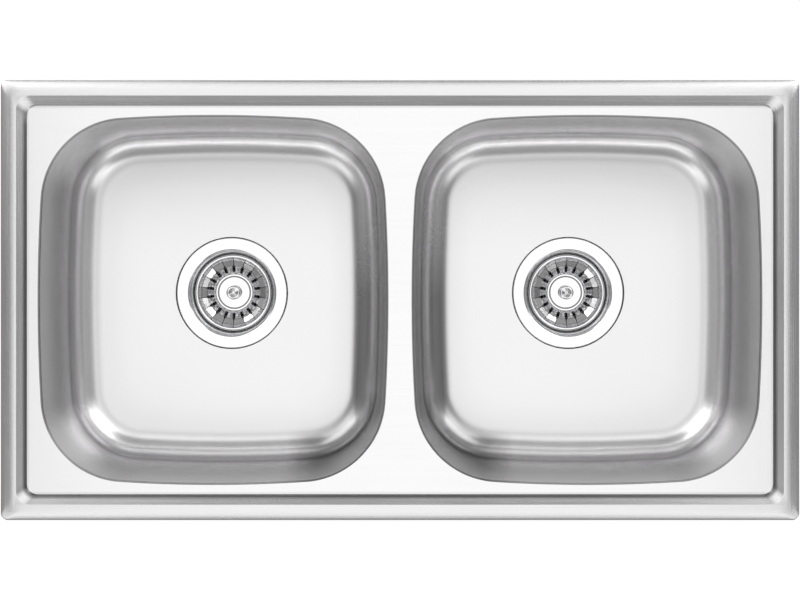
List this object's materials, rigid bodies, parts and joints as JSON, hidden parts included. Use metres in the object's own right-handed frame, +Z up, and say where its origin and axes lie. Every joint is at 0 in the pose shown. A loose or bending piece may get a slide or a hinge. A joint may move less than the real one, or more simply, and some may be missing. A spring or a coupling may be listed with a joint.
{
  "type": "double bowl kitchen sink",
  "caption": "Inset kitchen sink with bowls side by side in one deck with a raised rim, lift-out strainer baskets in the wastes and screw clips for the worktop.",
  "frame": {"origin": "middle of the sink in the plane of the worktop's top", "axes": "+X right along the sink's length, +Y to the rear, +Z up"},
  "size_m": [0.78, 0.43, 0.2504],
  "materials": {
    "brushed_sheet": "satin",
    "polished_steel": "polished",
    "zinc_steel": "zinc plated",
    "seal_rubber": "matt",
    "foam": "closed-cell foam",
    "damping": "matt",
    "white_plastic": "satin"
  },
  "bodies": {
    "sink": {"deck": "brushed_sheet", "rim_seal": "foam", "bowl_left": "brushed_sheet", "sound_pad_left": "damping", "waste_flange_left": "polished_steel", "flange_seal_left": "seal_rubber", "bowl_gasket_left": "seal_rubber", "waste_body_left": "white_plastic", "fixing_screw_left": "zinc_steel", "bowl_right": "brushed_sheet", "sound_pad_right": "damping", "waste_flange_right": "polished_steel", "flange_seal_right": "seal_rubber", "bowl_gasket_right": "seal_rubber", "waste_body_right": "white_plastic", "fixing_screw_right": "zinc_steel", "clip_bracket_front_left": "zinc_steel", "clip_bracket_front_middle": "zinc_steel", "clip_bracket_front_right": "zinc_steel", "clip_bracket_rear_left": "zinc_steel", "clip_bracket_rear_middle": "zinc_steel", "clip_bracket_rear_right": "zinc_steel", "clip_bracket_left": "zinc_steel", "clip_bracket_right": "zinc_steel"},
    "basket_left": {"basket_cup_left": "polished_steel", "basket_knob_left": "polished_steel", "basket_seal_left": "seal_rubber", "basket_pin_left": "zinc_steel"},
    "basket_right": {"basket_cup_right": "polished_steel", "basket_knob_right": "polished_steel", "basket_seal_right": "seal_rubber", "basket_pin_right": "zinc_steel"},
    "claw_front_left": {"clip_claw_front_left": "zinc_steel"},
    "screw_front_left": {"clip_screw_front_left": "zinc_steel"},
    "claw_front_middle": {"clip_claw_front_middle": "zinc_steel"},
    "screw_front_middle": {"clip_screw_front_middle": "zinc_steel"},
    "claw_front_right": {"clip_claw_front_right": "zinc_steel"},
    "screw_front_right": {"clip_screw_front_right": "zinc_steel"},
    "claw_rear_left": {"clip_claw_rear_left": "zinc_steel"},
    "screw_rear_left": {"clip_screw_rear_left": "zinc_steel"},
    "claw_rear_middle": {"clip_claw_rear_middle": "zinc_steel"},
    "screw_rear_middle": {"clip_screw_rear_middle": "zinc_steel"},
    "claw_rear_right": {"clip_claw_rear_right": "zinc_steel"},
    "screw_rear_right": {"clip_screw_rear_right": "zinc_steel"},
    "claw_left": {"clip_claw_left": "zinc_steel"},
    "screw_left": {"clip_screw_left": "zinc_steel"},
    "claw_right": {"clip_claw_right": "zinc_steel"},
    "screw_right": {"clip_screw_right": "zinc_steel"}
  },
  "joints": [
    {"name": "basket_lift_left", "type": "slide", "parent": "sink", "child": "basket_left", "axis": [0, 0, 1], "range_m": [0, 0.24]},
    {"name": "basket_lift_right", "type": "slide", "parent": "sink", "child": "basket_right", "axis": [0, 0, 1], "range_m": [0, 0.24]},
    {"name": "claw_rise_front_left", "type": "slide", "parent": "sink", "child": "claw_front_left", "axis": [0, 0, 1], "range_m": [0, 0.022]},
    {"name": "screw_turn_front_left", "type": "hinge", "parent": "claw_front_left", "child": "screw_front_left", "pos_m": [-0.33, -0.195, -0.057], "axis": [0, 0, 1], "range_deg": [0, 9936]},
    {"name": "claw_rise_front_middle", "type": "slide", "parent": "sink", "child": "claw_front_middle", "axis": [0, 0, 1], "range_m": [0, 0.022]},
    {"name": "screw_turn_front_middle", "type": "hinge", "parent": "claw_front_middle", "child": "screw_front_middle", "pos_m": [0, -0.195, -0.057], "axis": [0, 0, 1], "range_deg": [0, 9936]},
    {"name": "claw_rise_front_right", "type": "slide", "parent": "sink", "child": "claw_front_right", "axis": [0, 0, 1], "range_m": [0, 0.022]},
    {"name": "screw_turn_front_right", "type": "hinge", "parent": "claw_front_right", "child": "screw_front_right", "pos_m": [0.33, -0.195, -0.057], "axis": [0, 0, 1], "range_deg": [0, 9936]},
    {"name": "claw_rise_rear_left", "type": "slide", "parent": "sink", "child": "claw_rear_left", "axis": [0, 0, 1], "range_m": [0, 0.022]},
    {"name": "screw_turn_rear_left", "type": "hinge", "parent": "claw_rear_left", "child": "screw_rear_left", "pos_m": [-0.33, 0.195, -0.057], "axis": [0, 0, 1], "range_deg": [0, 9936]},
    {"name": "claw_rise_rear_middle", "type": "slide", "parent": "sink", "child": "claw_rear_middle", "axis": [0, 0, 1], "range_m": [0, 0.022]},
    {"name": "screw_turn_rear_middle", "type": "hinge", "parent": "claw_rear_middle", "child": "screw_rear_middle", "pos_m": [0, 0.195, -0.057], "axis": [0, 0, 1], "range_deg": [0, 9936]},
    {"name": "claw_rise_rear_right", "type": "slide", "parent": "sink", "child": "claw_rear_right", "axis": [0, 0, 1], "range_m": [0, 0.022]},
    {"name": "screw_turn_rear_right", "type": "hinge", "parent": "claw_rear_right", "child": "screw_rear_right", "pos_m": [0.33, 0.195, -0.057], "axis": [0, 0, 1], "range_deg": [0, 9936]},
    {"name": "claw_rise_left", "type": "slide", "parent": "sink", "child": "claw_left", "axis": [0, 0, 1], "range_m": [0, 0.022]},
    {"name": "screw_turn_left", "type": "hinge", "parent": "claw_left", "child": "screw_left", "pos_m": [-0.37, 0, -0.057], "axis": [0, 0, 1], "range_deg": [0, 9936]},
    {"name": "claw_rise_right", "type": "slide", "parent": "sink", "child": "claw_right", "axis": [0, 0, 1], "range_m": [0, 0.022]},
    {"name": "screw_turn_right", "type": "hinge", "parent": "claw_right", "child": "screw_right", "pos_m": [0.37, 0, -0.057], "axis": [0, 0, 1], "range_deg": [0, 9936]}
  ],
  "couplings": [
    {"joint": "screw_turn_front_left", "follows": "claw_rise_front_left", "rad_per_m": 7854},
    {"joint": "screw_turn_front_middle", "follows": "claw_rise_front_middle", "rad_per_m": 7854},
    {"joint": "screw_turn_front_right", "follows": "claw_rise_front_right", "rad_per_m": 7854},
    {"joint": "screw_turn_rear_left", "follows": "claw_rise_rear_left", "rad_per_m": 7854},
    {"joint": "screw_turn_rear_middle", "follows": "claw_rise_rear_middle", "rad_per_m": 7854},
    {"joint": "screw_turn_rear_right", "follows": "claw_rise_rear_right", "rad_per_m": 7854},
    {"joint": "screw_turn_left", "follows": "claw_rise_left", "rad_per_m": 7854},
    {"joint": "screw_turn_right", "follows": "claw_rise_right", "rad_per_m": 7854}
  ]
}
